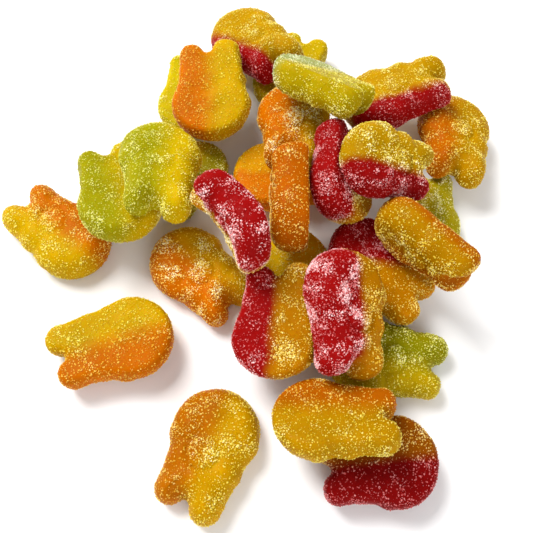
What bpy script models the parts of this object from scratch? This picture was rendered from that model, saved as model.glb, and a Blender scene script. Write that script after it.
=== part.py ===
"""Loose heap of sugared two-colour gummies lying straight on a table.

All gummies come from one starch mould: a broad rounded dome at one end, two
blunt lobes at the other, a flat poured back and a softly moulded front. Every
gummy is its own closed solid. Lengths are metres unless a name ends in _MM.
"""

import math

import bmesh
import bpy
import numpy as np
from mathutils import Matrix, Vector
from mathutils.bvhtree import BVHTree

MM = 0.001

# Outline of the mould, seen on its front with the dome up, dome centre at 0, 0
DOME_RADIUS_MM = 10.6
TRUNK_END_MM = (0.3, -8.5)
TRUNK_RADII_MM = (10.3, 8.9)
COLOUR_LOBE_MM = ((-3.0, -10.0), (-4.9, -17.0))
COLOUR_LOBE_RADII_MM = (5.4, 3.5)
YELLOW_LOBE_MM = ((3.4, -10.0), (4.9, -17.9))
YELLOW_LOBE_RADII_MM = (5.8, 3.9)
OUTLINE_BLEND_MM = 1.8
MIDDLE_MM = (0.0, -5.5)

# Section of the mould
THICKNESS_MM = 10.4
FRONT_DROP_MM = 0.6
PARTING_HEIGHT_MM = 3.0
FRONT_ROUNDING_MM = 5.2
FRONT_ROUNDING_POWER = 2.3
BACK_RINGS_MM = ((0.75, 0.75), (2.4, 0.0))
FRONT_RING_INSETS_MM = (0.5, 1.7, 3.4)
INNER_RING_SHARES = (0.74, 0.4)
DOME_POINTS = 14
LOBE_POINTS = 12
OUTLINE_POINTS = DOME_POINTS + LOBE_POINTS
LOBE_SPAN_DEG = (-147.0, -33.0)
RAY_LENGTH_MM = 32.0
HALVINGS = 40

# Low relief of the front: place, reach and height of each pad
FRONT_PADS_MM = (
    ((-4.6, -3.0), 2.6, 0.7),
    ((4.4, -3.6), 2.6, 0.7),
    ((-1.2, -8.6), 3.0, 0.6),
    ((-5.2, -15.4), 3.0, 0.5),
    ((5.6, -16.0), 3.2, 0.5),
)
WAIST_PLACE_MM = -12.2
WAIST_REACH_MM = 1.9
WAIST_DEPTH_MM = 0.6

# Side bumps where the front relief runs over the edge
SIDE_BUMPS_MM = ((10.0, -1.5), (9.6, -8.4), (10.2, -15.6), (-10.2, -4.5), (-9.4, -15.6))
SIDE_BUMP_REACH_MM = 2.6
SIDE_BUMP_HEIGHT_MM = 0.7

# Resting one on another
GAP_MM = 0.45
LIFT_STEP_MM = 0.1
TALLEST_START_MM = 90.0
COARSE_LEAN_DEG = 8
FINE_LEAN_DEG = 2
LOWER_BY_MM = 0.001
TOUCH_SEARCH_MM = 6.0

FRONT_UP = 0
BACK_UP = 180

COLOURS = {
    "orange": (0.80, 0.17, 0.005, 1.0),
    "red": (0.42, 0.010, 0.012, 1.0),
    "green": (0.38, 0.42, 0.012, 1.0),
    "yellow": (0.72, 0.42, 0.010, 1.0),
}
GLOSS_ROUGHNESS = 0.42

# Each gummy in the order it lies, lowest first. x and y place the middle of the
# gummy in millimetres, heading is where the dome points in degrees from +X,
# roll turns it about its length, pitch lifts the dome, size scales it, length
# is its share of the mould length, and lean is how many degrees it may settle.
#    name, colour, x, y, heading, roll, pitch, size, length, lean
LAYOUT = (
    ("gummy_orange_01", "orange", -61.0, 9.5, -38, FRONT_UP, 0, 1.03, 1.0, 0),
    ("gummy_yellow_04", "yellow", -24.0, 57.0, -92, BACK_UP, 0, 0.88, 1.0, 0),
    ("gummy_green_07", "green", -22.8, 26.0, 57, BACK_UP, 0, 0.80, 1.0, 0),
    ("gummy_green_14", "green", 7.5, 65.5, -116, BACK_UP, 0, 0.9, 1.0, 0),
    ("gummy_green_19", "green", 47.5, 15.5, -95, FRONT_UP, 0, 0.9, 1.0, 0),
    ("gummy_orange_25", "orange", 8.0, -7.5, 99, BACK_UP, 0, 0.97, 1.0, 0),
    ("gummy_green_26", "green", 33.0, -30.0, 171, FRONT_UP, 0, 1.0, 1.0, 0),
    ("gummy_red_28", "red", 28.0, -57.5, 6, BACK_UP, 0, 1.05, 0.92, 0),
    ("gummy_orange_29", "orange", -42.0, -26.0, 18, BACK_UP, 0, 1.03, 1.0, 0),
    ("gummy_orange_30", "orange", -15.5, -54.5, 68, FRONT_UP, 0, 1.05, 1.0, 0),
    ("gummy_red_06", "red", -4.0, 71.0, 128, FRONT_UP, 0, 1.0, 1.0, 12),
    ("gummy_orange_12", "orange", -19.0, -4.5, 136, FRONT_UP, 0, 1.0, 1.0, 8),
    ("gummy_yellow_08", "yellow", 5.6, 26.5, 180, BACK_UP, 0, 0.95, 1.0, 0),
    ("gummy_orange_11", "orange", 8.0, 38.5, 89, FRONT_UP, 0, 0.98, 0.95, 12),
    ("gummy_green_02", "green", -43.0, 17.0, -71, BACK_UP, 6, 1.06, 1.0, 4),
    ("gummy_orange_18", "orange", 57.0, 38.0, 84, FRONT_UP, 0, 1.0, 1.0, 8),
    ("gummy_red_24", "red", 3.0, -22.0, -95, BACK_UP, 0, 1.06, 0.88, 16),
    ("gummy_red_21", "red", 31.5, -5.0, 136, BACK_UP, 0, 1.0, 1.0, 8),
    ("gummy_red_17", "red", 20.0, 19.0, -92, 137, -6, 0.98, 0.95, 4),
    ("gummy_red_15", "red", 39.0, 50.5, -168, FRONT_UP, 0, 1.0, 1.0, 12),
    ("gummy_orange_27", "orange", 17.5, -48.5, 176, 200, 0, 0.98, 1.0, 8),
    ("gummy_orange_05", "orange", -16.5, 50.0, -87, BACK_UP, 0, 1.06, 0.91, 4),
    ("gummy_green_03", "green", -29.5, 19.5, 92, FRONT_UP, 0, 1.04, 0.95, 8),
    ("gummy_green_13", "green", 15.5, 42.5, 143, -150, 0, 0.95, 0.95, 8),
    ("gummy_red_16", "red", 33.0, 18.0, 180, -10, 30, 0.94, 0.9, 0),
    ("gummy_red_10", "red", -10.0, -1.5, -56, 90, -8, 0.94, 0.93, 0),
    ("gummy_orange_09", "orange", 6.0, 10.0, -91, 90, 0, 0.98, 0.95, 0),
    ("gummy_red_22", "red", 21.0, -22.5, 92, 50, 0, 1.05, 1.0, 8),
    ("gummy_yellow_20", "yellow", 41.0, -4.0, 135, -90, -8, 0.94, 1.0, 0),
)


def capsule(points, start, end, start_radius, end_radius):
    """Distance in the plane to a bar with round ends of two radii."""
    start = np.asarray(start)
    along = np.asarray(end) - start
    share = np.clip((points - start) @ along / (along @ along), 0.0, 1.0)
    radius = start_radius + (end_radius - start_radius) * share
    return np.linalg.norm(points - start - share[:, None] * along, axis=1) - radius


def blend(first, second):
    """Union of two distances with a rounded inner corner."""
    overlap = np.maximum(OUTLINE_BLEND_MM - np.abs(first - second), 0.0)
    return np.minimum(first, second) - overlap**2 / (4.0 * OUTLINE_BLEND_MM)


def outline_distance(points):
    """Distance to the mould outline in millimetres, negative inside."""
    dome = np.linalg.norm(points, axis=1) - DOME_RADIUS_MM
    body = blend(dome, capsule(points, (0.0, 0.0), TRUNK_END_MM, *TRUNK_RADII_MM))
    body = blend(body, capsule(points, *COLOUR_LOBE_MM, *COLOUR_LOBE_RADII_MM))
    return blend(body, capsule(points, *YELLOW_LOBE_MM, *YELLOW_LOBE_RADII_MM))


def outline_ring(inset):
    """Points a given way inside the outline, one on each ray from the middle."""
    first, last = LOBE_SPAN_DEG
    lobes = np.linspace(first, last, LOBE_POINTS, endpoint=False)
    dome = np.linspace(last, first + 360.0, DOME_POINTS, endpoint=False)
    angles = np.radians(np.concatenate([lobes, dome]))
    rays = np.stack([np.cos(angles), np.sin(angles)], axis=1)
    middle = np.asarray(MIDDLE_MM)
    inner = np.zeros(OUTLINE_POINTS)
    outer = np.full(OUTLINE_POINTS, RAY_LENGTH_MM)
    for _ in range(HALVINGS):
        radius = (inner + outer) / 2.0
        inside = outline_distance(middle + rays * radius[:, None]) < -inset
        inner = np.where(inside, radius, inner)
        outer = np.where(inside, outer, radius)
    return middle + rays * inner[:, None]


def front_height(points):
    """Height of the moulded front over the flat back in millimetres."""
    depth = np.clip(-outline_distance(points) / FRONT_ROUNDING_MM, 0.0, 1.0)
    rounding = (1.0 - (1.0 - depth) ** FRONT_ROUNDING_POWER) ** (1.0 / FRONT_ROUNDING_POWER)
    relief = np.zeros(len(points))
    for place, reach, height in FRONT_PADS_MM:
        away = np.linalg.norm(points - np.asarray(place), axis=1)
        relief += height * np.exp(-((away / reach) ** 2))
    relief -= WAIST_DEPTH_MM * np.exp(-(((points[:, 1] - WAIST_PLACE_MM) / WAIST_REACH_MM) ** 2))
    top = THICKNESS_MM - FRONT_DROP_MM + relief
    return PARTING_HEIGHT_MM + (top - PARTING_HEIGHT_MM) * rounding


def side_bumps(points):
    """How far the front relief pushes the upper edge outwards in millimetres."""
    push = np.zeros(len(points))
    for place in SIDE_BUMPS_MM:
        away = np.linalg.norm(points - np.asarray(place), axis=1)
        push += SIDE_BUMP_HEIGHT_MM * np.exp(-((away / SIDE_BUMP_REACH_MM) ** 2))
    return push


def mould_rings():
    """All rings of the gummy from the flat back to the top of the front."""
    middle = np.asarray(MIDDLE_MM)
    rings = []
    for inset, height in reversed(BACK_RINGS_MM):
        ring = outline_ring(inset)
        rings.append(np.column_stack([ring, np.full(OUTLINE_POINTS, height)]))
    edge = outline_ring(0.0)
    rings.append(np.column_stack([edge, np.full(OUTLINE_POINTS, PARTING_HEIGHT_MM)]))
    for inset in FRONT_RING_INSETS_MM:
        ring = outline_ring(inset)
        height = front_height(ring)
        outward = ring - middle
        outward /= np.linalg.norm(outward, axis=1)[:, None]
        rings.append(np.column_stack([ring + outward * side_bumps(ring)[:, None], height]))
    for share in INNER_RING_SHARES:
        ring = middle + (outline_ring(FRONT_RING_INSETS_MM[-1]) - middle) * share
        rings.append(np.column_stack([ring, front_height(ring)]))
    return rings


def gummy_mesh():
    """Vertices in metres about the middle of the gummy, and its faces."""
    rings = mould_rings()
    crown = np.array([[*MIDDLE_MM, front_height(np.array([MIDDLE_MM]))[0]]])
    points = np.concatenate(rings + [crown])
    points -= np.array([*MIDDLE_MM, THICKNESS_MM / 2.0])
    count = OUTLINE_POINTS
    faces = [tuple(reversed(range(count)))]
    for level in range(len(rings) - 1):
        for step in range(count):
            follow = (step + 1) % count
            low, low_next = level * count + step, level * count + follow
            high, high_next = low + count, low_next + count
            faces.append((low, low_next, high_next))
            faces.append((low, high_next, high))
    last = (len(rings) - 1) * count
    top = len(rings) * count
    for step in range(count):
        faces.append((last + step, last + (step + 1) % count, top))
    return points * MM, faces


def turned(points, heading, roll, pitch, size, length):
    """Gummy points after shortening, rolling, pitching and heading, in that order."""
    turn = (
        Matrix.Rotation(math.radians(heading - 90.0), 3, "Z")
        @ Matrix.Rotation(math.radians(pitch), 3, "X")
        @ Matrix.Rotation(math.radians(roll), 3, "Y")
    )
    return points * np.array([size, size * length, size]) @ np.array(turn).T


def tree_of(points, faces):
    """Search tree over one set of faces."""
    return BVHTree.FromPolygons([Vector(point) for point in points], faces)


class Heap:
    """The gummies laid so far, with what is needed to lay the next one."""

    def __init__(self, faces):
        self.faces = faces
        self.laid = []

    def near(self, points):
        """Gummies whose plan box comes close to the given points."""
        reach = TOUCH_SEARCH_MM * MM
        low = points.min(axis=0)[:2] - reach
        high = points.max(axis=0)[:2] + reach
        return [
            (other, tree)
            for other, tree in self.laid
            if (other.min(axis=0)[:2] < high).all() and (other.max(axis=0)[:2] > low).all()
        ]

    def drop_height(self, points):
        """Lowest lift of the points that keeps the upright gap to all below."""
        gap = GAP_MM * MM
        start = TALLEST_START_MM * MM
        lift = -float(points[:, 2].min())
        own = tree_of(points, self.faces)
        for other, tree in self.near(points):
            for point in points:
                hit = tree.ray_cast(Vector((point[0], point[1], start)), Vector((0.0, 0.0, -1.0)))[0]
                if hit is not None:
                    lift = max(lift, hit.z + gap - point[2])
            for point in other:
                under = Vector((point[0], point[1], -start))
                hit = own.ray_cast(under, Vector((0.0, 0.0, 1.0)))[0]
                if hit is not None:
                    lift = max(lift, point[2] + gap - hit.z)
        return lift

    def clear(self, points):
        """Whether the points keep the gap to every gummy in all directions."""
        gap = GAP_MM * MM
        own = tree_of(points, self.faces)
        for other, tree in self.near(points):
            if own.overlap(tree):
                return False
            if any(tree.find_nearest(Vector(point), gap)[0] is not None for point in points):
                return False
            if any(own.find_nearest(Vector(point), gap)[0] is not None for point in other):
                return False
        return True

    def best_lean(self, points, offset, pose, sizes, rolls, pitches):
        """Lift, points, roll and pitch of the tried lean that lies lowest."""
        heading, roll, pitch = pose
        best = None
        for more_roll in rolls:
            for more_pitch in pitches:
                tried = turned(points, heading, roll + more_roll, pitch + more_pitch, *sizes) + offset
                lift = self.drop_height(tried)
                if best is None or lift < best[0] - LOWER_BY_MM * MM:
                    best = (lift, tried, more_roll, more_pitch)
        return best

    def lay(self, points, place, pose, sizes, lean):
        """Lay one gummy at its place, leaning it to where its middle lies lowest."""
        offset = np.array([place[0] * MM, place[1] * MM, 0.0])
        coarse = range(-lean, lean + 1, COARSE_LEAN_DEG) if lean else (0,)
        lift, tried, more_roll, more_pitch = self.best_lean(points, offset, pose, sizes, coarse, coarse)
        if lean:
            fine = range(-COARSE_LEAN_DEG // 2, COARSE_LEAN_DEG // 2 + 1, FINE_LEAN_DEG)
            rolls = [more_roll + step for step in fine]
            pitches = [more_pitch + step for step in fine]
            lift, tried, _, _ = self.best_lean(points, offset, pose, sizes, rolls, pitches)
        tried = tried + np.array([0.0, 0.0, lift])
        while not self.clear(tried):
            tried = tried + np.array([0.0, 0.0, LIFT_STEP_MM * MM])
        self.laid.append((tried, tree_of(tried, self.faces)))


def gummy_material(colour):
    """Glossy jelly in the leading colour of a gummy."""
    material = bpy.data.materials.new("gummy_" + colour)
    material.use_nodes = True
    shader = material.node_tree.nodes["Principled BSDF"]
    shader.inputs["Base Color"].default_value = COLOURS[colour]
    shader.inputs["Roughness"].default_value = GLOSS_ROUGHNESS
    return material


def add_solid(name, points, faces, material):
    """One closed gummy as an object of its own."""
    mesh = bpy.data.meshes.new(name)
    mesh.from_pydata([tuple(point) for point in points], [], faces)
    work = bmesh.new()
    work.from_mesh(mesh)
    bmesh.ops.recalc_face_normals(work, faces=work.faces)
    work.to_mesh(mesh)
    work.free()
    mesh.materials.append(material)
    solid = bpy.data.objects.new(name, mesh)
    bpy.context.scene.collection.objects.link(solid)
    return solid


def build():
    """Lay the heap, centre it over the origin and add its solids."""
    for item in list(bpy.data.objects):
        bpy.data.objects.remove(item, do_unlink=True)
    points, faces = gummy_mesh()
    heap = Heap(faces)
    for _, _, x, y, heading, roll, pitch, size, length, lean in LAYOUT:
        heap.lay(points, (x, y), (heading, roll, pitch), (size, length), lean)
    everything = np.concatenate([laid for laid, _ in heap.laid])
    centre = (everything.min(axis=0) + everything.max(axis=0)) / 2.0
    centre[2] = everything[:, 2].min()
    materials = {colour: gummy_material(colour) for colour in COLOURS}
    for (name, colour, *_), (laid, _) in zip(LAYOUT, heap.laid):
        add_solid(name, laid - centre, faces, materials[colour])


build()
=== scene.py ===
"""A loose heap of sugared two-colour gummies on a pale table, for the visual model.

One mould is modelled, then every gummy is a copy of it that takes the place of
its solid in the frame, with its own bend, lumps, colours and coat of sugar.
"""

import logging
import math
from dataclasses import dataclass, field
from enum import Enum

import bpy
import numpy as np
from mathutils import Matrix, Vector, noise

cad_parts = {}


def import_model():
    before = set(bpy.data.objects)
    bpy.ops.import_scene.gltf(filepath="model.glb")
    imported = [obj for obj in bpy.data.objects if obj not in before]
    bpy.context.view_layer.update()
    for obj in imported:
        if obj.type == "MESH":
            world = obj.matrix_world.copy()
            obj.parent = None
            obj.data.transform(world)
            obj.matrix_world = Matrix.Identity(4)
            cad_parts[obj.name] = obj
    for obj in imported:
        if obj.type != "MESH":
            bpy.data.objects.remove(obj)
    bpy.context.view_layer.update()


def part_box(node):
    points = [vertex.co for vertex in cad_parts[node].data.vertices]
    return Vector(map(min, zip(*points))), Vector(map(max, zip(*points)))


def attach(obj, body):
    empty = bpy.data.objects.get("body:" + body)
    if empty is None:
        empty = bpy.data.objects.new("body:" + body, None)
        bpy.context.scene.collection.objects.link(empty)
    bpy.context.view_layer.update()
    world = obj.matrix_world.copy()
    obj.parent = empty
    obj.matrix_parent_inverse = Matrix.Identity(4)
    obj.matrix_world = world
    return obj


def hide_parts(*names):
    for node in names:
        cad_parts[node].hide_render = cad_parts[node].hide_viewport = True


LOG = logging.getLogger("gummies")
MM = 0.001
TINY = 1e-6
NO_AREA = 1e-12
NEAR_AXIS = 0.5
BODY = "root"
COAT_GUMMIES = 5

Colour = tuple[float, float, float]


class Lie(Enum):
    """Which way up a gummy lies before it is turned on its side."""

    FRONT_UP = 0
    BACK_UP = 180


@dataclass(frozen=True)
class JellyFinish:
    """Two jellies poured side by side in one gummy.

    Softness is how many millimetres to each side they run into each other.
    """

    name: str
    slot: str
    lead: Colour
    second: Colour
    softness: float


CRIMSON: Colour = (0.27, 0.0034, 0.0034)
IN_ORANGE, IN_RED, IN_GREEN, IN_YELLOW = "gummy_orange", "gummy_red", "gummy_green", "gummy_yellow"

ORANGE = JellyFinish("orange_yellow", IN_ORANGE, (0.49, 0.117, 0.0003), (0.485, 0.240, 0.0005), 3.6)
SUNNY = JellyFinish("orange_sunny", IN_ORANGE, (0.49, 0.120, 0.0003), (0.50, 0.290, 0.0005), 3.6)
TAWNY = JellyFinish("orange_tawny", IN_ORANGE, (0.39, 0.110, 0.0003), (0.47, 0.240, 0.0005), 3.0)
AMBER = JellyFinish("amber_orange", IN_ORANGE, (0.45, 0.098, 0.0003), (0.46, 0.135, 0.0005), 5.0)
GOLD = JellyFinish("gold_olive", IN_ORANGE, (0.62, 0.30, 0.001), (0.56, 0.34, 0.0015), 5.0)
RED = JellyFinish("red_yellow", IN_RED, CRIMSON, (0.42, 0.160, 0.0005), 1.9)
RUSSET = JellyFinish("red_russet", IN_RED, CRIMSON, (0.35, 0.086, 0.0005), 1.9)
RUBY = JellyFinish("red_lemon", IN_RED, CRIMSON, (0.43, 0.225, 0.0005), 1.9)
LIME = JellyFinish("green_lime", IN_GREEN, (0.28, 0.250, 0.0015), (0.50, 0.330, 0.001), 4.5)
PALE_LIME = JellyFinish("pale_lime", IN_GREEN, (0.30, 0.32, 0.055), (0.42, 0.30, 0.001), 3.5)
OLIVE = JellyFinish("olive_lime", IN_GREEN, (0.31, 0.25, 0.004), (0.42, 0.27, 0.001), 4.0)
HONEY = JellyFinish("honey_orange", IN_YELLOW, (0.46, 0.120, 0.0003), (0.47, 0.215, 0.0005), 1.8)
LEMON = JellyFinish("lemon", IN_YELLOW, (0.52, 0.40, 0.001), (0.52, 0.40, 0.001), 4.0)


@dataclass(frozen=True)
class Pose:
    """How one gummy lies: its solid in the frame, its turn, sizes and coat.

    Split and slant place the line between the two jellies, lean tips it
    towards the poured back, frost is how much sugar the gummy carries, drift
    how much of it gathers on the leading jelly, tone how deep its jelly is,
    with painted shade and painted light in it: it darkens gummies that lie in
    shade and brightens some that lie in deep shade among the others, bend how
    far its ends rise and smooth how much of the relief is lost.
    Angles are in degrees, split is in millimetres and size is the share of
    the mould's size.
    """

    node: str
    finish: JellyFinish
    heading: float
    roll: float
    pitch: float
    size: float
    length: float = 1.0
    split: float = 0.0
    slant: float = 0.0
    lean: float = 0.0
    frost: float = 1.0
    # Depth of the jelly's colour, with painted shade below 1 and painted light above 1.
    tone: float = 1.0
    bend: float = 0.0
    drift: float = 0.0
    smooth: float = 0.0


FLAT = Lie.FRONT_UP.value
OVER = Lie.BACK_UP.value

# Tones below 1 paint shade on gummies that lie in shade, such as gummy_red_28 under gummy_orange_27 and
# gummy_yellow_20; tones above 1 paint light on gummies in deep shade, such as gummy_orange_25 and
# gummy_green_19.
HEAP = (
    Pose("gummy_orange_01", SUNNY, -38, FLAT, 0, 1.03, split=1.0),
    Pose("gummy_yellow_04", LEMON, -92, OVER, 0, 0.88),
    Pose("gummy_green_07", OLIVE, 57, OVER, 0, 0.80),
    Pose("gummy_green_14", LIME, -116, OVER, 0, 0.90, split=-9.0),
    Pose("gummy_green_19", OLIVE, -95, FLAT, 0, 0.90, frost=1.2, tone=1.15),
    Pose("gummy_orange_25", GOLD, 99, OVER, 0, 0.97, tone=1.4),
    Pose("gummy_green_26", LIME, 171, FLAT, 0, 1.00, slant=180.0, split=2.0, tone=0.8),
    Pose("gummy_red_28", RUSSET, 6, OVER, 0, 1.05, 0.92, split=0.5, tone=0.68),
    Pose("gummy_orange_29", SUNNY, 18, OVER, 0, 1.03, frost=0.85, tone=0.95),
    Pose("gummy_orange_30", TAWNY, 68, FLAT, 0, 1.05),
    Pose("gummy_red_06", RUBY, 128, -4, -16, 1.00, split=-5.0, slant=15.0),
    Pose("gummy_orange_12", ORANGE, 136, FLAT, 0, 1.00, split=1.0, frost=1.2, tone=1.1),
    Pose("gummy_yellow_08", HONEY, 180, OVER, 0, 0.95, slant=180.0, frost=0.6, tone=1.35),
    Pose("gummy_orange_11", ORANGE, 89, FLAT, -8, 0.98, 0.95, split=2.0, frost=1.3, tone=1.05),
    Pose("gummy_green_02", LIME, -71, 172, 14, 1.06, tone=0.95),
    Pose("gummy_orange_18", ORANGE, 84, 12, -12, 1.00, split=-2.0, tone=0.85),
    Pose("gummy_red_24", RED, -95, 192, -14, 1.06, 0.88, frost=1.3, drift=0.45),
    Pose("gummy_red_21", RED, 136, 192, 8, 1.00, slant=-42.0),
    Pose("gummy_red_17", RED, -92, 129, -2, 0.98, 0.95, frost=1.2),
    Pose("gummy_red_15", RUBY, -168, 16, -16, 1.00, split=-5.0),
    Pose("gummy_orange_27", ORANGE, 176, 204, -10, 0.98, split=-1.0, tone=0.8),
    Pose("gummy_orange_05", SUNNY, -87, 182, -8, 1.06, 0.91, frost=0.7),
    Pose("gummy_green_03", LIME, 92, 12, -12, 1.04, 0.95, split=1.0, tone=1.05, smooth=0.75),
    Pose("gummy_green_13", PALE_LIME, 143, -138, -12, 0.95, 0.95, split=-3.0, slant=-50.0, tone=0.9),
    Pose("gummy_red_16", RUBY, 180, -10, 30, 0.94, 0.90, split=-2.5, frost=1.2, tone=0.9),
    Pose("gummy_red_10", RED, -56, 90, -8, 0.94, 0.93, frost=1.5, bend=0.016),
    Pose("gummy_orange_09", AMBER, -91, 90, 0, 0.98, 0.95, tone=0.9),
    Pose("gummy_red_22", RED, 92, 38, 12, 1.05, split=0.5, frost=1.5, drift=0.75),
    Pose("gummy_yellow_20", HONEY, 135, -90, -8, 0.94, split=3.4, lean=60.0, tone=0.78),
)


def select_only(piece: bpy.types.Object) -> None:
    """Deselect everything and make one object selected and active.

    Args:
        piece: the object to work on.
    """
    bpy.ops.object.select_all(action="DESELECT")
    piece.select_set(True)
    bpy.context.view_layer.objects.active = piece


def coordinates(mesh: bpy.types.Mesh) -> np.ndarray:
    """Read a mesh's vertex places.

    Args:
        mesh: the mesh to read.

    Returns:
        One row of x, y, z for each vertex.
    """
    flat = np.empty(len(mesh.vertices) * 3, np.float32)
    mesh.vertices.foreach_get("co", flat)
    return flat.reshape(-1, 3).astype(float)


def move_to(mesh: bpy.types.Mesh, points: np.ndarray) -> None:
    """Put a mesh's vertices at new places.

    Args:
        mesh: the mesh to change.
        points: one row of x, y, z for each vertex.
    """
    mesh.vertices.foreach_set("co", points.astype(np.float32).ravel())
    mesh.update()


def ordered_triangles(mesh: bpy.types.Mesh) -> np.ndarray:
    """Triangles of a mesh in the order of their vertices.

    Blender's modelling tools may order faces otherwise from run to run, and
    the seeded draws over them would then differ.

    Args:
        mesh: the mesh to read.

    Returns:
        One row of three vertex numbers for each triangle.
    """
    found = []
    for face in mesh.polygons:
        corners = list(face.vertices)
        start = corners.index(min(corners))
        corners = corners[start:] + corners[:start]
        found += [(corners[0], *pair) for pair in zip(corners[1:], corners[2:])]
    return np.array(sorted(found))


def soft_step(low: float, high: float, value: np.ndarray) -> np.ndarray:
    """Rise from 0 to 1 between two values with flat ends.

    Args:
        low: value up to which the result is 0.
        high: value from which the result is 1.
        value: numbers to map.

    Returns:
        The mapped numbers.
    """
    share = np.clip((value - low) / (high - low), 0.0, 1.0)
    return share * share * (3.0 - 2.0 * share)


@dataclass
class GummyMould:
    """The starch mould of all gummies in millimetres, dome centre at 0, 0.

    x grows towards the longer lobe's side, y towards the dome and z out of
    the moulded front. The poured back lies at z = 0.
    """

    dome_radius: float = 10.6
    trunk_end: tuple[float, float] = (0.3, -8.5)
    trunk_radii: tuple[float, float] = (10.3, 8.9)
    short_lobe: tuple = ((-3.0, -10.0), (-4.9, -17.0))
    short_lobe_radii: tuple[float, float] = (5.4, 3.5)
    long_lobe: tuple = ((3.4, -10.0), (4.9, -17.9))
    long_lobe_radii: tuple[float, float] = (5.8, 3.9)
    corner: float = 1.8
    middle: tuple[float, float] = (0.0, -5.5)
    thickness: float = 10.4
    front_drop: float = 0.7
    parting: float = 3.0
    rounding: float = 5.2
    rounding_power: float = 2.3
    back_rounding: float = 1.7
    waist: tuple[float, float, float] = (-12.2, 1.9, 0.4)
    waist_sides: tuple[float, float] = (2.0, 7.0)
    pads: tuple = (
        ((-5.6, -1.4), 2.4, 0.55),
        ((4.8, -1.8), 2.4, 0.55),
        ((-7.6, -8.2), 2.4, 0.4),
        ((7.6, -8.6), 2.4, 0.4),
        ((0.2, -12.4), 2.2, 0.55),
        ((-5.0, -15.2), 2.6, 0.45),
        ((5.2, -16.0), 2.8, 0.45),
        ((-1.0, 5.4), 3.4, 0.3),
    )
    snout: tuple[float, float] = (-0.4, -6.2)
    snout_radius: float = 3.9
    snout_height: float = 0.55
    snout_edge: float = 1.2
    crease_gap: float = 0.3
    crease_width: float = 0.55
    crease_depth: float = 0.5
    crease_upper_share: float = 0.25
    crease_turn: float = 0.35
    side_creases: tuple = (
        ((7.4, -5.0), 0.4),
        ((-7.6, -4.8), 0.4),
        ((7.4, -12.6), 0.3),
        ((-7.2, -12.4), 0.3),
    )
    side_crease_reach: tuple[float, float] = (2.4, 0.65)
    side_bumps: tuple = ((10.0, -1.5), (9.6, -8.4), (10.2, -15.6), (-10.2, -4.5), (-9.4, -15.6))
    side_bump_reach: float = 2.4
    side_bump_height: float = 0.75
    around: int = 132
    back_steps: int = 5
    edge_insets: tuple = (0.06, 0.22, 0.5, 0.85, 1.3, 1.85, 2.55, 3.4)
    inner_steps: int = 13
    halvings: int = 36
    trial_rays: int = 1441
    ray_reach: float = 3.0
    blank: bpy.types.Object | None = field(default=None, repr=False)

    def bar(self, points: np.ndarray, ends: tuple, radii: tuple[float, float]) -> np.ndarray:
        """Distance in the plane to a bar with round ends of two radii.

        Args:
            points: x and y of each point.
            ends: the bar's two end places.
            radii: the radius at each end.

        Returns:
            Signed distances, negative inside.
        """
        start = np.asarray(ends[0])
        along = np.asarray(ends[1]) - start
        share = np.clip((points - start) @ along / (along @ along), 0.0, 1.0)
        radius = radii[0] + (radii[1] - radii[0]) * share
        return np.linalg.norm(points - start - share[:, None] * along, axis=1) - radius

    def join(self, first: np.ndarray, second: np.ndarray) -> np.ndarray:
        """Join two distances with a rounded inner corner.

        Args:
            first: distances to one shape.
            second: distances to the other shape.

        Returns:
            Distances to both together.
        """
        overlap = np.maximum(self.corner - np.abs(first - second), 0.0)
        return np.minimum(first, second) - overlap**2 / (4.0 * self.corner)

    def outline(self, points: np.ndarray) -> np.ndarray:
        """Distance to the mould's outline.

        Args:
            points: x and y of each point.

        Returns:
            Signed distances, negative inside.
        """
        dome = np.linalg.norm(points, axis=1) - self.dome_radius
        shape = self.join(dome, self.bar(points, ((0.0, 0.0), self.trunk_end), self.trunk_radii))
        shape = self.join(shape, self.bar(points, self.short_lobe, self.short_lobe_radii))
        return self.join(shape, self.bar(points, self.long_lobe, self.long_lobe_radii))

    def along_rays(self, rays: np.ndarray, inset: float) -> np.ndarray:
        """Find how far each ray from the middle runs to a line inside the outline.

        Args:
            rays: unit directions in the plane.
            inset: how far inside the outline the line lies.

        Returns:
            A length for each ray.
        """
        middle = np.asarray(self.middle)
        inner = np.zeros(len(rays))
        outer = np.full(len(rays), self.ray_reach * self.dome_radius)
        for _ in range(self.halvings):
            length = (inner + outer) / 2.0
            inside = self.outline(middle + rays * length[:, None]) < -inset
            inner = np.where(inside, length, inner)
            outer = np.where(inside, outer, length)
        return inner

    def even_rays(self) -> np.ndarray:
        """Rays that meet the outline at even steps along it.

        Returns:
            Unit directions, one for each step round the gummy.
        """
        angles = np.linspace(0.0, 2.0 * math.pi, self.trial_rays)
        rays = np.stack([np.cos(angles), np.sin(angles)], axis=1)
        places = rays * self.along_rays(rays, 0.0)[:, None]
        steps = np.linalg.norm(np.diff(places, axis=0), axis=1)
        walked = np.concatenate([[0.0], np.cumsum(steps)])
        wanted = np.linspace(0.0, walked[-1], self.around, endpoint=False)
        angles = np.interp(wanted, walked, angles)
        return np.stack([np.cos(angles), np.sin(angles)], axis=1)

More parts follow.
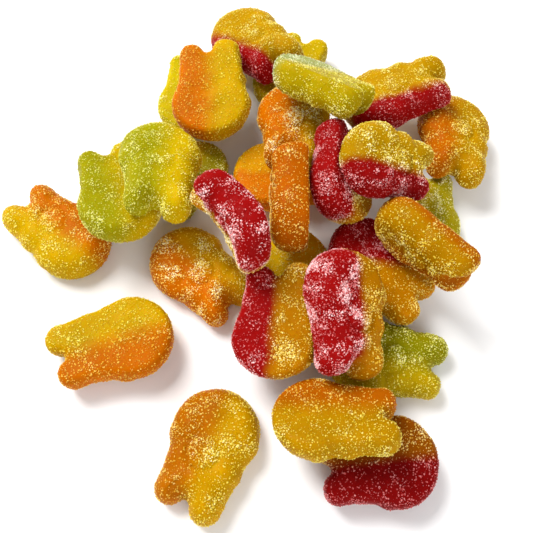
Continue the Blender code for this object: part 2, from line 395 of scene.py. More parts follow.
    def relief(self, points: np.ndarray) -> np.ndarray:
        """Low relief of the moulded front.

        Args:
            points: x and y of each point.

        Returns:
            Heights over the plain front.
        """
        height = np.zeros(len(points))
        for place, reach, rise in self.pads:
            away = np.linalg.norm(points - np.asarray(place), axis=1)
            height += rise * np.exp(-((away / reach) ** 2))
        row, reach, depth = self.waist
        sides = soft_step(*self.waist_sides, np.abs(points[:, 0]))
        height -= depth * np.exp(-(((points[:, 1] - row) / reach) ** 2)) * sides
        offset = points - np.asarray(self.snout)
        away = np.linalg.norm(offset, axis=1)
        outside = soft_step(self.snout_radius - self.snout_edge, self.snout_radius, away)
        height += self.snout_height * (1.0 - outside)
        lower = soft_step(-self.crease_turn, self.crease_turn, -offset[:, 1] / np.maximum(away, TINY))
        crease = np.exp(-(((away - self.snout_radius - self.crease_gap) / self.crease_width) ** 2))
        upper = self.crease_upper_share
        height -= self.crease_depth * crease * (upper + (1.0 - upper) * lower)
        long, thin = self.side_crease_reach
        for place, depth in self.side_creases:
            x, y = (points - np.asarray(place)).T
            height -= depth * np.exp(-((x / long) ** 2) - (y / thin) ** 2)
        return height

    def front(self, points: np.ndarray) -> np.ndarray:
        """Height of the moulded front over the poured back.

        Args:
            points: x and y of each point.

        Returns:
            One height for each point.
        """
        depth = np.clip(-self.outline(points) / self.rounding, 0.0, 1.0)
        share = (1.0 - (1.0 - depth) ** self.rounding_power) ** (1.0 / self.rounding_power)
        top = self.thickness - self.front_drop + self.relief(points)
        return self.parting + (top - self.parting) * share

    def bulge(self, points: np.ndarray) -> np.ndarray:
        """How far the relief pushes the upper edge outwards.

        Args:
            points: x and y of each point.

        Returns:
            One push for each point.
        """
        push = np.zeros(len(points))
        for place in self.side_bumps:
            away = np.linalg.norm(points - np.asarray(place), axis=1)
            push += self.side_bump_height * np.exp(-((away / self.side_bump_reach) ** 2))
        return push

    def rings(self) -> list[np.ndarray]:
        """All rings of the mould from the middle of the back to that of the front.

        Returns:
            A list of rings, each with one row of x, y, z for every ray.
        """
        rays = self.even_rays()
        middle = np.asarray(self.middle)
        made: list[np.ndarray] = []
        flat = middle + rays * self.along_rays(rays, self.back_rounding)[:, None]
        for share in np.linspace(0.0, 1.0, self.inner_steps)[1:]:
            ring = middle + (flat - middle) * share
            made.append(np.column_stack([ring, np.zeros(self.around)]))
        for angle in np.linspace(0.0, math.pi / 2.0, self.back_steps)[1:]:
            inset = self.back_rounding * (1.0 - math.sin(angle))
            ring = middle + rays * self.along_rays(rays, inset)[:, None]
            height = self.parting * (1.0 - math.cos(angle))
            made.append(np.column_stack([ring, np.full(self.around, height)]))
        for inset in self.edge_insets:
            ring = middle + rays * self.along_rays(rays, inset)[:, None]
            made.append(np.column_stack([ring + rays * self.bulge(ring)[:, None], self.front(ring)]))
        last = made[-1][:, :2]
        for share in np.linspace(1.0, 0.0, self.inner_steps)[1:-1]:
            ring = middle + (last - middle) * share
            made.append(np.column_stack([ring, self.front(ring)]))
        return made

    def model(self) -> bpy.types.Object:
        """Model the blank gummy: a disc that is extruded level by level and shaped.

        Returns:
            The blank, in millimetres, which every gummy copies.
        """
        rings = self.rings()
        bpy.ops.object.select_all(action="DESELECT")
        bpy.ops.mesh.primitive_circle_add(vertices=self.around, radius=1.0, fill_type="NGON")
        blank = bpy.context.active_object
        blank.name = "gummy_blank"
        bpy.ops.object.mode_set(mode="EDIT")
        bpy.ops.mesh.select_all(action="SELECT")
        for _ in range(len(rings) - 1):
            bpy.ops.mesh.extrude_region_move(TRANSFORM_OT_translate={"value": (0.0, 0.0, 1.0)})
        bpy.ops.mesh.poke()
        bpy.ops.mesh.select_all(action="DESELECT")
        bpy.ops.object.mode_set(mode="OBJECT")
        bottom = min(blank.data.polygons, key=lambda face: (face.center.z, -len(face.vertices)))
        bottom.select = True
        bpy.ops.object.mode_set(mode="EDIT")
        bpy.ops.mesh.select_mode(type="FACE")
        bpy.ops.mesh.poke()
        bpy.ops.object.mode_set(mode="OBJECT")
        self.shape(blank, rings)
        select_only(blank)
        bpy.ops.object.mode_set(mode="EDIT")
        bpy.ops.mesh.select_all(action="SELECT")
        bpy.ops.mesh.normals_make_consistent(inside=False)
        bpy.ops.object.mode_set(mode="OBJECT")
        bpy.ops.object.shade_smooth()
        self.blank = blank
        return blank

    def shape(self, blank: bpy.types.Object, rings: list[np.ndarray]) -> None:
        """Give each extruded ring of the blank its place in the mould.

        Args:
            blank: the extruded disc, one level to each ring.
            rings: the places of the rings.
        """
        rays = self.even_rays()
        mesh = blank.data
        points = coordinates(mesh)
        level = np.rint(points[:, 2]).astype(int)
        level -= level.min()
        centre = np.linalg.norm(points[:, :2], axis=1) < NEAR_AXIS
        angle = np.arctan2(points[:, 1], points[:, 0])
        step = np.rint(angle / (2.0 * math.pi) * self.around).astype(int) % self.around
        first = int(np.argmax(rays[:, 0]))
        stack = np.stack(rings)
        placed = stack[np.minimum(level, len(rings) - 1), (step + first) % self.around]
        middle = np.array([self.middle])
        low = centre & (level == 0)
        high = centre & (level > 0)
        placed[low] = [*self.middle, 0.0]
        placed[high] = [*self.middle, float(self.front(middle)[0])]
        move_to(mesh, placed)


@dataclass
class Gummy:
    """One gummy of the heap, copied from the mould.

    Lump and patch sizes are in millimetres. Each share says how much the
    raised relief, the broad and the small patches add to the sugar.
    """

    pose: Pose
    number: int
    lump_sizes: tuple[float, float] = (4.5, 1.3)
    lump_heights: tuple[float, float] = (0.20, 0.06)
    lump_shift: tuple[float, float, float] = (17.3, -5.1, 3.7)
    squash: float = 0.02
    squash_seed: int = 900
    relief_fade: float = 3.0
    patch_sizes: tuple[float, float] = (4.2, 1.7)
    sugar_base: float = 0.34
    sugar_shares: tuple[float, float, float] = (0.8, 0.8, 0.45)
    least_sugar: float = 0.04
    piece: bpy.types.Object | None = field(default=None, repr=False)

    def turn(self) -> np.ndarray:
        """Rotation of the gummy as a matrix.

        Returns:
            A three by three matrix: roll, then pitch, then heading.
        """
        pose = self.pose
        turn = (
            Matrix.Rotation(math.radians(pose.heading - 90.0), 3, "Z")
            @ Matrix.Rotation(math.radians(pose.pitch), 3, "X")
            @ Matrix.Rotation(math.radians(pose.roll), 3, "Y")
        )
        return np.array(turn)

    def lumps(self, points: np.ndarray, normals: np.ndarray) -> np.ndarray:
        """Uneven casting of this gummy: broad lumps and a fine crust.

        Args:
            points: places in the mould, in millimetres.
            normals: outward directions at those places.

        Returns:
            The places with the lumps.
        """
        shift = Vector([step * self.number for step in self.lump_shift])
        push = np.zeros(len(points))
        for size, height in zip(self.lump_sizes, self.lump_heights):
            push += height * np.array([noise.noise(Vector(point) / size + shift) for point in points])
        return points + normals * push[:, None]

    def raised(self, local: np.ndarray, mould: GummyMould) -> np.ndarray:
        """Height of the front's relief, faded out towards the poured back.

        Args:
            local: places in the mould.
            mould: the mould.

        Returns:
            One height for each place.
        """
        shown = soft_step(mould.parting, mould.parting + self.relief_fade, local[:, 2])
        return mould.relief(local[:, :2]) * shown

    def make(self, mould: GummyMould) -> bpy.types.Object:
        """Copy the blank, make it uneven, and lay it where its solid lies.

        Args:
            mould: the mould with its modelled blank.

        Returns:
            The finished piece.
        """
        pose = self.pose
        mesh = mould.blank.data.copy()
        mesh.name = pose.node + "_jelly"
        local = coordinates(mesh)
        normals = np.array([vertex.normal for vertex in mesh.vertices])
        shaped = self.lumps(local, normals)
        shaped[:, 2] -= pose.smooth * self.raised(local, mould)
        draw = np.random.default_rng(self.squash_seed + self.number)
        shaped[:, :2] *= 1.0 + self.squash * draw.uniform(-1.0, 1.0, 2)
        shaped -= [*mould.middle, mould.thickness / 2.0]
        shaped[:, 2] += pose.bend * shaped[:, 1] ** 2
        sizes = pose.size * MM * np.array([1.0, pose.length, 1.0])
        laid = (sizes * shaped) @ self.turn().T
        low, high = (np.array(corner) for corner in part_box(pose.node))
        laid[:, 2] *= (high[2] - low[2]) / np.ptp(laid[:, 2])
        place = (low + high) / 2.0 - (laid.min(axis=0) + laid.max(axis=0)) / 2.0
        place[2] = low[2] - laid[:, 2].min()
        move_to(mesh, laid + place)
        self.piece = bpy.data.objects.new(pose.node + "_jelly", mesh)
        bpy.context.scene.collection.objects.link(self.piece)
        self.paint(mesh, local, mould)
        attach(self.piece, BODY)
        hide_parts(pose.node)
        return self.piece

    def paint(self, mesh: bpy.types.Mesh, local: np.ndarray, mould: GummyMould) -> None:
        """Store where the two jellies meet and where sugar gathers.

        Args:
            mesh: the gummy's mesh.
            local: places of its vertices in the mould.
            mould: the mould.
        """
        pose = self.pose
        slant, lean = math.radians(pose.slant), math.radians(pose.lean)
        across = local[:, 0] * math.cos(slant) + (local[:, 1] - mould.middle[1]) * math.sin(slant)
        across = across * math.cos(lean) + (local[:, 2] - mould.thickness / 2.0) * math.sin(lean)
        split = mesh.attributes.new("split", "FLOAT", "POINT")
        split.data.foreach_set("value", (across - pose.split).astype(np.float32))
        # The tone goes into the jelly's colour: its depth of colour, with painted shade and painted
        # light for gummies that lie in shade.
        tone = mesh.attributes.new("tone", "FLOAT", "POINT")
        tone.data.foreach_set("value", np.full(len(local), pose.tone, np.float32))
        shift = Vector((3.1 * self.number, 8.7, -2.9 * self.number))
        broad_size, small_size = self.patch_sizes
        broad = np.array([noise.noise(Vector(point) / broad_size + shift) for point in local])
        small = np.array([noise.noise(Vector(point) / small_size - shift) for point in local])
        raised = (1.0 - pose.smooth) * self.raised(local, mould)
        of_relief, of_broad, of_small = self.sugar_shares
        sugar = self.sugar_base + of_relief * raised + of_broad * broad + of_small * small
        sugar = np.clip(sugar, self.least_sugar, 1.0) * pose.frost
        frost = mesh.attributes.new("sugar", "FLOAT", "POINT")
        frost.data.foreach_set("value", sugar.astype(np.float32))

    def jelly_at(self, split: np.ndarray) -> np.ndarray:
        """Colour of the jelly at distances from the split.

        Args:
            split: distances in millimetres, negative on the leading colour's side.

        Returns:
            One colour for each distance.
        """
        finish = self.pose.finish
        share = soft_step(-finish.softness, finish.softness, split)[:, None]
        mixed = np.asarray(finish.lead) * (1.0 - share) + np.asarray(finish.second) * share
        # Multiplying by the tone paints shade on gummies that lie in shade and light on some in deep
        # shade.
        return mixed * self.pose.tone


@dataclass
class SugarCoat:
    """Sugar grains on some of the gummies, joined in one piece.

    Grain edges are in millimetres. Clear holds the powers of the jelly's
    colour that tint the whitest and the clearest grain.
    """

    name: str
    gummies: list[Gummy]
    crystal: tuple[float, float] = (0.62, 0.66)
    crystal_tip: tuple[float, float, float] = (0.12, -0.08, -0.4)
    stretch: tuple[float, float] = (0.7, 1.1)
    grain_edge: tuple[float, float] = (0.17, 0.58)
    edge_power: float = 2.4
    raised: float = 0.04
    per_square_mm: float = 2.4
    bare: float = 0.13
    patch_power: float = 2.5
    # Faces that turn downwards keep only this share of the grains, which paints shade on the
    # undersides.
    underside_share: float = 0.3
    underside: tuple[float, float] = (-0.7, -0.1)
    drift_width: float = 2.5
    clear: tuple[float, float] = (0.08, 0.55)
    thin_whiteness: float = 0.45
    whiteness_power: float = 0.8
    brightness: float = 1.08
    seed: int = 41
    piece: bpy.types.Object | None = field(default=None, repr=False)

    def grain(self) -> tuple[np.ndarray, np.ndarray]:
        """Model one grain: a four-sided crystal with a point at each end.

        Returns:
            Its vertices about its middle and its triangles.
        """
        bpy.ops.object.select_all(action="DESELECT")
        radius, height = self.crystal
        bpy.ops.mesh.primitive_cone_add(
            vertices=4, radius1=radius, radius2=0.0, depth=height, end_fill_type="TRIFAN"
        )
        grain = bpy.context.active_object
        bpy.ops.object.mode_set(mode="EDIT")
        bpy.ops.mesh.select_mode(type="VERT")
        bpy.ops.mesh.select_all(action="DESELECT")
        bpy.ops.object.mode_set(mode="OBJECT")
        for vertex in grain.data.vertices:
            vertex.select = vertex.co.xy.length < NEAR_AXIS and vertex.co.z < 0.0
        bpy.ops.object.mode_set(mode="EDIT")
        bpy.ops.transform.translate(value=self.crystal_tip)
        bpy.ops.mesh.select_all(action="SELECT")
        bpy.ops.mesh.normals_make_consistent(inside=False)
        bpy.ops.object.mode_set(mode="OBJECT")
        points = coordinates(grain.data)
        triangles = np.array([tuple(face.vertices) for face in grain.data.polygons])
        bpy.data.objects.remove(grain, do_unlink=True)
        return points - points.mean(axis=0), triangles

    def scatter(self, gummy: Gummy, draw: np.random.Generator) -> tuple[np.ndarray, ...]:
        """Choose where grains sit on one gummy.

        Args:
            gummy: the gummy that carries them.
            draw: the seeded source of random numbers.

        Returns:
            Places, outward directions, the jelly colours under them and how
            thickly the sugar lies there.
        """
        mesh = gummy.piece.data
        triangles = ordered_triangles(mesh)
        points = coordinates(mesh)
        corners = points[triangles]
        cross = np.cross(corners[:, 1] - corners[:, 0], corners[:, 2] - corners[:, 0])
        area = np.linalg.norm(cross, axis=1) / 2.0
        values = {}
        for name in ("sugar", "split"):
            flat = np.empty(len(mesh.vertices), np.float32)
            mesh.attributes[name].data.foreach_get("value", flat)
            values[name] = flat.astype(float)
        # Fewer grains where the face turns down paints shade on the undersides.
        upward = cross[:, 2] / np.maximum(2.0 * area, NO_AREA)
        shown = self.underside_share + (1.0 - self.underside_share) * soft_step(*self.underside, upward)
        sugar = values["sugar"][triangles].mean(axis=1)
        patches = self.bare + sugar**self.patch_power
        lead = soft_step(-self.drift_width, self.drift_width, -values["split"][triangles].mean(axis=1))
        gathered = 1.0 - gummy.pose.drift * (1.0 - lead)
        weight = area * patches * shown * gathered
        count = int(area.sum() / MM**2 * self.per_square_mm * gummy.pose.frost)
        chosen = draw.choice(len(triangles), count, p=weight / weight.sum())
        first, second = draw.random((2, count))
        turned = first + second > 1.0
        first, second = np.where(turned, 1.0 - first, first), np.where(turned, 1.0 - second, second)
        share = np.stack([1.0 - first - second, first, second], axis=1)
        places = (corners[chosen] * share[:, :, None]).sum(axis=1)
        outward = cross[chosen] / np.maximum(2.0 * area[chosen], NO_AREA)[:, None]
        split = (values["split"][triangles[chosen]] * share).sum(axis=1)
        thickness = sugar[chosen] * gummy.pose.frost * gathered[chosen]
        return places, outward, gummy.jelly_at(split), thickness

    def make(self) -> bpy.types.Object:
        """Join the grains of the gummies into one piece.

        Returns:
            The finished piece.
        """
        shape, triangles = self.grain()
        draw = np.random.default_rng(self.seed + sum(map(ord, self.name)))
        found = [self.scatter(gummy, draw) for gummy in self.gummies]
        places, outward, jelly, thickness = (np.concatenate(part) for part in zip(*found))
        count = len(places)
        tilt = draw.normal(size=(count, 3))
        tilt /= np.linalg.norm(tilt, axis=1)[:, None]
        side = np.cross(tilt, draw.normal(size=(count, 3)))
        side /= np.linalg.norm(side, axis=1)[:, None]
        axes = np.stack([side, np.cross(tilt, side), tilt], axis=2)
        low, high = self.grain_edge
        edge = (low + (high - low) * draw.random(count) ** self.edge_power) * MM
        stretch = draw.uniform(*self.stretch, (count, 3))
        grains = shape[None] * stretch[:, None] * edge[:, None, None]
        seats = places + outward * self.raised * MM
        grains = np.einsum("nij,nkj->nki", axes, grains) + seats[:, None]
        grains[:, :, 2] = np.maximum(grains[:, :, 2], 0.0)
        faces = triangles[None] + (np.arange(count) * len(shape))[:, None, None]
        mesh = bpy.data.meshes.new(self.name)
        mesh.from_pydata(grains.reshape(-1, 3).tolist(), [], faces.reshape(-1, 3).tolist())
        white, clear = self.clear
        thin = self.thin_whiteness
        whiteness = (thin + (1.0 - thin) * thickness) * draw.random(count) ** self.whiteness_power
        depth = clear - (clear - white) * np.clip(whiteness, 0.0, 1.0)
        # Grain tints follow the jelly under them, with the painted shade and painted light of its tone.
        tint = np.minimum(jelly ** depth[:, None] * self.brightness, 1.0)
        colour = mesh.attributes.new("tint", "FLOAT_COLOR", "POINT")
        rows = np.repeat(np.column_stack([tint, np.ones(count)]), len(shape), axis=0)
        colour.data.foreach_set("color", rows.astype(np.float32).ravel())
        self.piece = bpy.data.objects.new(self.name, mesh)
        bpy.context.scene.collection.objects.link(self.piece)
        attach(self.piece, BODY)
        return self.piece


@dataclass(frozen=True)
class Patterns:
    """Sizes and strengths of the patterns in the jelly and its sugar film.

    Scales are in features a metre, and the line between the jellies wanders
    by at most half the wander, in millimetres.
    """

    cloud_scale: float = 220.0
    cloud_detail: float = 3.0
    wander: float = 3.0
    mottle_scale: float = 130.0
    mottle_range: tuple[float, float] = (0.3, 0.7)
    mottle: float = 0.1
    speck_scale: float = 2400.0
    speck_edge: tuple[float, float] = (0.42, 0.12)
    speck_cover: float = 0.45
    film: float = 0.06
    clearness: float = 0.85
    roughness: tuple[float, float] = (0.34, 0.6)
    crust_scale: float = 1500.0
    crust_detail: float = 2.0
    crust: float = 0.5


class NodeGroups:
    """Shader node groups that several materials use."""

    def __init__(self) -> None:
        """Build each group once."""
        self.patterns = Patterns()
        self.two_jellies = self.build_two_jellies()
        self.sugar_film = self.build_sugar_film()

    @staticmethod
    def socket(
        tree: bpy.types.NodeTree, name: str, way: str, kind: str, value: float | None = None
    ) -> None:
        """Add one named input or output to a group.

        Args:
            tree: the group.
            name: the socket's name.
            way: INPUT or OUTPUT.
            kind: the socket's type.
            value: what an input holds by default.
        """
        made = tree.interface.new_socket(name=name, in_out=way, socket_type="NodeSocket" + kind)
        if value is not None:
            made.default_value = value

    @staticmethod
    def maths(tree: bpy.types.NodeTree, operation: str, **numbers: float) -> bpy.types.Node:
        """Add one sum to a group.

        Args:
            tree: the group.
            operation: the kind of sum.
            numbers: the plain numbers that it holds, as a, b or c for the
                first, second or third input.

        Returns:
            The node.
        """
        node = tree.nodes.new("ShaderNodeMath")
        node.operation = operation
        for letter, number in numbers.items():
            node.inputs["abc".index(letter)].default_value = number
        return node

    @staticmethod
    def attribute(tree: bpy.types.NodeTree, name: str) -> bpy.types.Node:
        """Add a node that reads one attribute of the piece.

        Args:
            tree: the group.
            name: the attribute's name.

        Returns:
            The node.
        """
        node = tree.nodes.new("ShaderNodeAttribute")
        node.attribute_name = name
        return node

    def build_two_jellies(self) -> bpy.types.NodeTree:
        """Two jellies that run into each other along a cloudy line.

        Returns:
            The group, which puts out a colour.
        """
        look = self.patterns
        tree = bpy.data.node_groups.new("two_jellies", "ShaderNodeTree")
        self.socket(tree, "Lead", "INPUT", "Color")
        self.socket(tree, "Second", "INPUT", "Color")
        self.socket(tree, "Softness", "INPUT", "Float")
        self.socket(tree, "Mottle", "INPUT", "Float", look.mottle)
        self.socket(tree, "Colour", "OUTPUT", "Color")
        nodes, links = tree.nodes, tree.links
        given, put = nodes.new("NodeGroupInput"), nodes.new("NodeGroupOutput")
        place = nodes.new("ShaderNodeTexCoord")
        split = self.attribute(tree, "split")
        cloud = nodes.new("ShaderNodeTexNoise")
        cloud.inputs["Scale"].default_value = look.cloud_scale
        cloud.inputs["Detail"].default_value = look.cloud_detail
        wander = self.maths(tree, "MULTIPLY_ADD", b=look.wander)
        links.new(place.outputs["Object"], cloud.inputs["Vector"])
        links.new(cloud.outputs["Fac"], wander.inputs[0])
        links.new(split.outputs["Fac"], wander.inputs[2])
        centred = self.maths(tree, "SUBTRACT", b=look.wander / 2.0)
        links.new(wander.outputs[0], centred.inputs[0])
        back = self.maths(tree, "MULTIPLY", b=-1.0)
        links.new(given.outputs["Softness"], back.inputs[0])
        share = nodes.new("ShaderNodeMapRange")
        share.interpolation_type = "SMOOTHSTEP"
        links.new(centred.outputs[0], share.inputs["Value"])
        links.new(back.outputs[0], share.inputs["From Min"])
        links.new(given.outputs["Softness"], share.inputs["From Max"])
        mixed = nodes.new("ShaderNodeMix")
        mixed.data_type = "RGBA"
        links.new(share.outputs["Result"], mixed.inputs["Factor"])
        links.new(given.outputs["Lead"], mixed.inputs["A"])
        links.new(given.outputs["Second"], mixed.inputs["B"])
        broad = nodes.new("ShaderNodeTexNoise")
        broad.inputs["Scale"].default_value = look.mottle_scale
        links.new(place.outputs["Object"], broad.inputs["Vector"])
        mottled = nodes.new("ShaderNodeMapRange")
        mottled.inputs["From Min"].default_value = look.mottle_range[0]
        mottled.inputs["From Max"].default_value = look.mottle_range[1]
        low = self.maths(tree, "SUBTRACT", a=1.0)
        high = self.maths(tree, "ADD", a=1.0)
        links.new(given.outputs["Mottle"], low.inputs[1])
        links.new(given.outputs["Mottle"], high.inputs[1])
        links.new(broad.outputs["Fac"], mottled.inputs["Value"])
        links.new(low.outputs[0], mottled.inputs["To Min"])
        links.new(high.outputs[0], mottled.inputs["To Max"])
        # Scaling the colour by the tone paints shade on some gummies and light on others, beside their
        # real depth of colour.
        tone = self.attribute(tree, "tone")
        mottle_tone_and_shade = self.maths(tree, "MULTIPLY")
        links.new(mottled.outputs["Result"], mottle_tone_and_shade.inputs[0])
        links.new(tone.outputs["Fac"], mottle_tone_and_shade.inputs[1])
        dyed = nodes.new("ShaderNodeVectorMath")
        dyed.operation = "SCALE"
        links.new(mixed.outputs["Result"], dyed.inputs[0])
        links.new(mottle_tone_and_shade.outputs[0], dyed.inputs["Scale"])
        links.new(dyed.outputs["Vector"], put.inputs["Colour"])
        return tree

    def build_sugar_film(self) -> bpy.types.NodeTree:
        """Fine sugar stuck between the grains: specks, film and bumps.

        Returns:
            The group, which puts out a colour, a roughness and a height.
        """
        look = self.patterns
        tree = bpy.data.node_groups.new("sugar_film", "ShaderNodeTree")
        self.socket(tree, "Colour", "INPUT", "Color")
        self.socket(tree, "Clearness", "INPUT", "Float", look.clearness)
        self.socket(tree, "Speck Scale", "INPUT", "Float", look.speck_scale)
        self.socket(tree, "Film", "INPUT", "Float", look.film)
        self.socket(tree, "Colour", "OUTPUT", "Color")
        self.socket(tree, "Roughness", "OUTPUT", "Float")
        self.socket(tree, "Height", "OUTPUT", "Float")
        nodes, links = tree.nodes, tree.links
        given, put = nodes.new("NodeGroupInput"), nodes.new("NodeGroupOutput")
        place = nodes.new("ShaderNodeTexCoord")
        sugar = self.attribute(tree, "sugar")
        cells = nodes.new("ShaderNodeTexVoronoi")
        links.new(place.outputs["Object"], cells.inputs["Vector"])
        links.new(given.outputs["Speck Scale"], cells.inputs["Scale"])
        speck = nodes.new("ShaderNodeMapRange")
        speck.interpolation_type = "SMOOTHSTEP"
        speck.inputs["From Min"].default_value = look.speck_edge[0]
        speck.inputs["From Max"].default_value = look.speck_edge[1]
        links.new(cells.outputs["Distance"], speck.inputs["Value"])
        parted = nodes.new("ShaderNodeSeparateColor")
        links.new(cells.outputs["Color"], parted.inputs["Color"])
        kept = self.maths(tree, "LESS_THAN")
        links.new(parted.outputs["Red"], kept.inputs[0])
        links.new(sugar.outputs["Fac"], kept.inputs[1])
        shown = self.maths(tree, "MULTIPLY")
        links.new(speck.outputs["Result"], shown.inputs[0])
        links.new(kept.outputs[0], shown.inputs[1])
        film = self.maths(tree, "MULTIPLY")
        links.new(sugar.outputs["Fac"], film.inputs[0])
        links.new(given.outputs["Film"], film.inputs[1])
        coat = self.maths(tree, "MULTIPLY_ADD", b=look.speck_cover)
        coat.use_clamp = True
        links.new(shown.outputs[0], coat.inputs[0])
        links.new(film.outputs[0], coat.inputs[2])
        tinted = nodes.new("ShaderNodeGamma")
        links.new(given.outputs["Colour"], tinted.inputs["Color"])
        links.new(given.outputs["Clearness"], tinted.inputs["Gamma"])
        mixed = nodes.new("ShaderNodeMix")
        mixed.data_type = "RGBA"
        links.new(coat.outputs[0], mixed.inputs["Factor"])
        links.new(given.outputs["Colour"], mixed.inputs["A"])
        links.new(tinted.outputs["Color"], mixed.inputs["B"])
        links.new(mixed.outputs["Result"], put.inputs["Colour"])
        rough = nodes.new("ShaderNodeMapRange")
        rough.inputs["To Min"].default_value = look.roughness[0]
        rough.inputs["To Max"].default_value = look.roughness[1]
        links.new(coat.outputs[0], rough.inputs["Value"])
        links.new(rough.outputs["Result"], put.inputs["Roughness"])
        fine = nodes.new("ShaderNodeTexNoise")
        fine.inputs["Scale"].default_value = look.crust_scale
        fine.inputs["Detail"].default_value = look.crust_detail
        links.new(place.outputs["Object"], fine.inputs["Vector"])
        crust = self.maths(tree, "MULTIPLY_ADD", b=look.crust)
        links.new(fine.outputs["Fac"], crust.inputs[0])
        links.new(shown.outputs[0], crust.inputs[2])
        links.new(crust.outputs[0], put.inputs["Height"])
        return tree


@dataclass
class Wardrobe:
    """Materials of the heap, made once for each finish."""

    groups: NodeGroups
    scatter_depth: float = 0.003
    scatter_weight: float = 0.48
    scatter_radius: Colour = (1.0, 0.45, 0.12)
    refraction: float = 1.45
    shine: float = 0.02
    bump_strength: float = 0.8
    bump_depth: float = 0.0003
    grain_shine: float = 0.3
    grain_roughness: float = 0.3
    table_colour: Colour = (0.96, 0.96, 0.96)
    table_roughness: float = 0.9
    jellies: dict[str, bpy.types.Material] = field(default_factory=dict)
    grains: bpy.types.Material | None = None

    def jelly(self, finish: JellyFinish) -> bpy.types.Material:
        """Material of a gummy in one finish.

        Args:
            finish: the two jellies.

        Returns:
            The material.
        """
        if finish.name in self.jellies:
            return self.jellies[finish.name]
        material = bpy.data.materials.new("jelly_" + finish.name)
        material.use_nodes = True
        nodes, links = material.node_tree.nodes, material.node_tree.links
        shader = nodes["Principled BSDF"]
        jellies = nodes.new("ShaderNodeGroup")
        jellies.node_tree = self.groups.two_jellies
        jellies.inputs["Lead"].default_value = (*finish.lead, 1.0)
        jellies.inputs["Second"].default_value = (*finish.second, 1.0)
        jellies.inputs["Softness"].default_value = finish.softness
        film = nodes.new("ShaderNodeGroup")
        film.node_tree = self.groups.sugar_film
        links.new(jellies.outputs["Colour"], film.inputs["Colour"])
        links.new(film.outputs["Colour"], shader.inputs["Base Color"])
        links.new(film.outputs["Roughness"], shader.inputs["Roughness"])
        bump = nodes.new("ShaderNodeBump")
        bump.inputs["Strength"].default_value = self.bump_strength
        bump.inputs["Distance"].default_value = self.bump_depth
        links.new(film.outputs["Height"], bump.inputs["Height"])
        links.new(bump.outputs["Normal"], shader.inputs["Normal"])
        shader.inputs["IOR"].default_value = self.refraction
        shader.inputs["Specular IOR Level"].default_value = self.shine
        shader.inputs["Subsurface Weight"].default_value = self.scatter_weight
        shader.inputs["Subsurface Radius"].default_value = self.scatter_radius
        shader.inputs["Subsurface Scale"].default_value = self.scatter_depth
        self.jellies[finish.name] = material
        return material

    def sugar(self) -> bpy.types.Material:
        """Material of the sugar grains, tinted by the jelly they sit on.

        Returns:
            The material.
        """
        if self.grains is None:
            material = bpy.data.materials.new("sugar_grains")
            material.use_nodes = True
            nodes, links = material.node_tree.nodes, material.node_tree.links
            shader = nodes["Principled BSDF"]
            tint = self.groups.attribute(material.node_tree, "tint")
            links.new(tint.outputs["Color"], shader.inputs["Base Color"])
            shader.inputs["Roughness"].default_value = self.grain_roughness
            shader.inputs["Specular IOR Level"].default_value = self.grain_shine
            self.grains = material
        return self.grains

    def table(self) -> bpy.types.Material:
        """Material of the plain pale table.

        Returns:
            The material.
        """
        material = bpy.data.materials.new("pale_table")
        material.use_nodes = True
        shader = material.node_tree.nodes["Principled BSDF"]
        shader.inputs["Base Color"].default_value = (*self.table_colour, 1.0)
        shader.inputs["Roughness"].default_value = self.table_roughness
        return material


@dataclass(frozen=True)
class Lamp:
    """A soft square lamp: where it hangs, the length of its side and its watts."""

    name: str
    place: tuple[float, float, float]
    size: float
    power: float


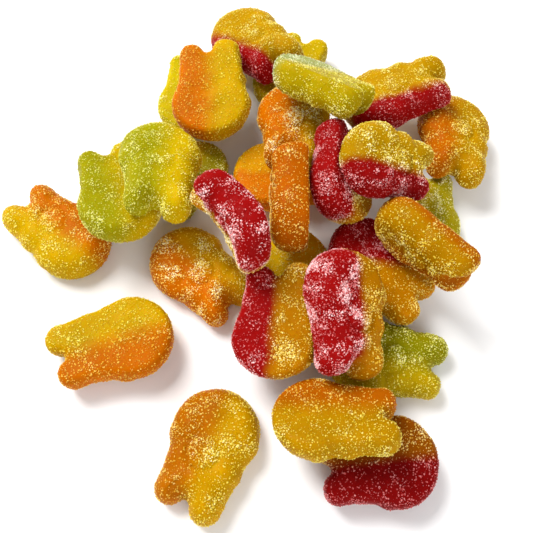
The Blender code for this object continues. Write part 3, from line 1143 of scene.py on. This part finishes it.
@dataclass
class Studio:
    """Table, lights and camera. The camera fits the photograph's outlines."""

    elevation: float = 67.0
    distance: float = 0.214
    aim: tuple[float, float, float] = (0.00494, -0.00643, 0.0)
    sensor: float = 36.0
    focal_pixels: float = 727.0
    frame_pixels: float = 533.0
    clip_range: tuple[float, float] = (0.01, 20.0)
    table_size: float = 3.0
    sky: float = 0.46
    lamps: tuple[Lamp, ...] = (
        Lamp("window", (-0.42, 0.42, 0.80), 0.5, 12.6),
        Lamp("front_fill", (0.25, -0.6, 0.35), 0.6, 3.0),
    )

    def camera(self) -> bpy.types.Object:
        """Camera that looks steeply down on the heap.

        Returns:
            The camera.
        """
        data = bpy.data.cameras.new("camera")
        data.sensor_width = self.sensor
        data.lens = self.sensor * self.focal_pixels / self.frame_pixels
        data.clip_start, data.clip_end = self.clip_range
        camera = bpy.data.objects.new("camera", data)
        bpy.context.scene.collection.objects.link(camera)
        rise = math.radians(self.elevation)
        back = Vector((0.0, -math.cos(rise), math.sin(rise))) * self.distance
        camera.location = Vector(self.aim) + back
        camera.rotation_euler = (math.radians(90.0 - self.elevation), 0.0, 0.0)
        bpy.context.scene.camera = camera
        return camera

    @staticmethod
    def hang(lamp: Lamp) -> None:
        """Hang a lamp so that it points at the heap.

        Args:
            lamp: the lamp's name, place, size and power.
        """
        data = bpy.data.lights.new(lamp.name, "AREA")
        data.shape = "SQUARE"
        data.size = lamp.size
        data.energy = lamp.power
        hung = bpy.data.objects.new(lamp.name, data)
        bpy.context.scene.collection.objects.link(hung)
        hung.location = lamp.place
        hung.rotation_euler = (-Vector(lamp.place)).to_track_quat("-Z", "Y").to_euler()

    def build(self, wardrobe: Wardrobe) -> None:
        """Lay the table and set the lights, the sky and the camera.

        Args:
            wardrobe: the materials.
        """
        bpy.ops.object.select_all(action="DESELECT")
        bpy.ops.mesh.primitive_plane_add(size=self.table_size)
        table = bpy.context.active_object
        table.name = "table"
        table.data.materials.append(wardrobe.table())
        world = bpy.data.worlds.new("studio")
        world.use_nodes = True
        sky = world.node_tree.nodes["Background"]
        sky.inputs["Color"].default_value = (1.0, 1.0, 1.0, 1.0)
        sky.inputs["Strength"].default_value = self.sky
        bpy.context.scene.world = world
        bpy.context.scene.view_settings.view_transform = "Standard"
        for lamp in self.lamps:
            self.hang(lamp)
        self.camera()


def main() -> None:
    """Build the gummies, their sugar and the studio."""
    logging.basicConfig(level=logging.INFO, format="%(message)s")
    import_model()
    mould = GummyMould()
    mould.model()
    wardrobe = Wardrobe(NodeGroups())
    gummies: list[Gummy] = []
    for number, pose in enumerate(HEAP):
        gummy = Gummy(pose, number)
        piece = gummy.make(mould)
        piece.data.materials.clear()
        piece.data.materials.append(wardrobe.jelly(pose.finish))
        gummies.append(gummy)
        LOG.info("%s: %d faces", piece.name, len(piece.data.polygons))
    bpy.data.objects.remove(mould.blank, do_unlink=True)
    for slot in sorted({gummy.pose.finish.slot for gummy in gummies}):
        share = [gummy for gummy in gummies if gummy.pose.finish.slot == slot]
        for part in range(0, len(share), COAT_GUMMIES):
            name = f"{slot.replace('gummy', 'sugar')}_{part // COAT_GUMMIES + 1}"
            piece = SugarCoat(name, share[part : part + COAT_GUMMIES]).make()
            piece.data.materials.append(wardrobe.sugar())
            LOG.info("%s: %d triangles", piece.name, len(piece.data.polygons))
    Studio().build(wardrobe)


if __name__ == "__main__":
    main()
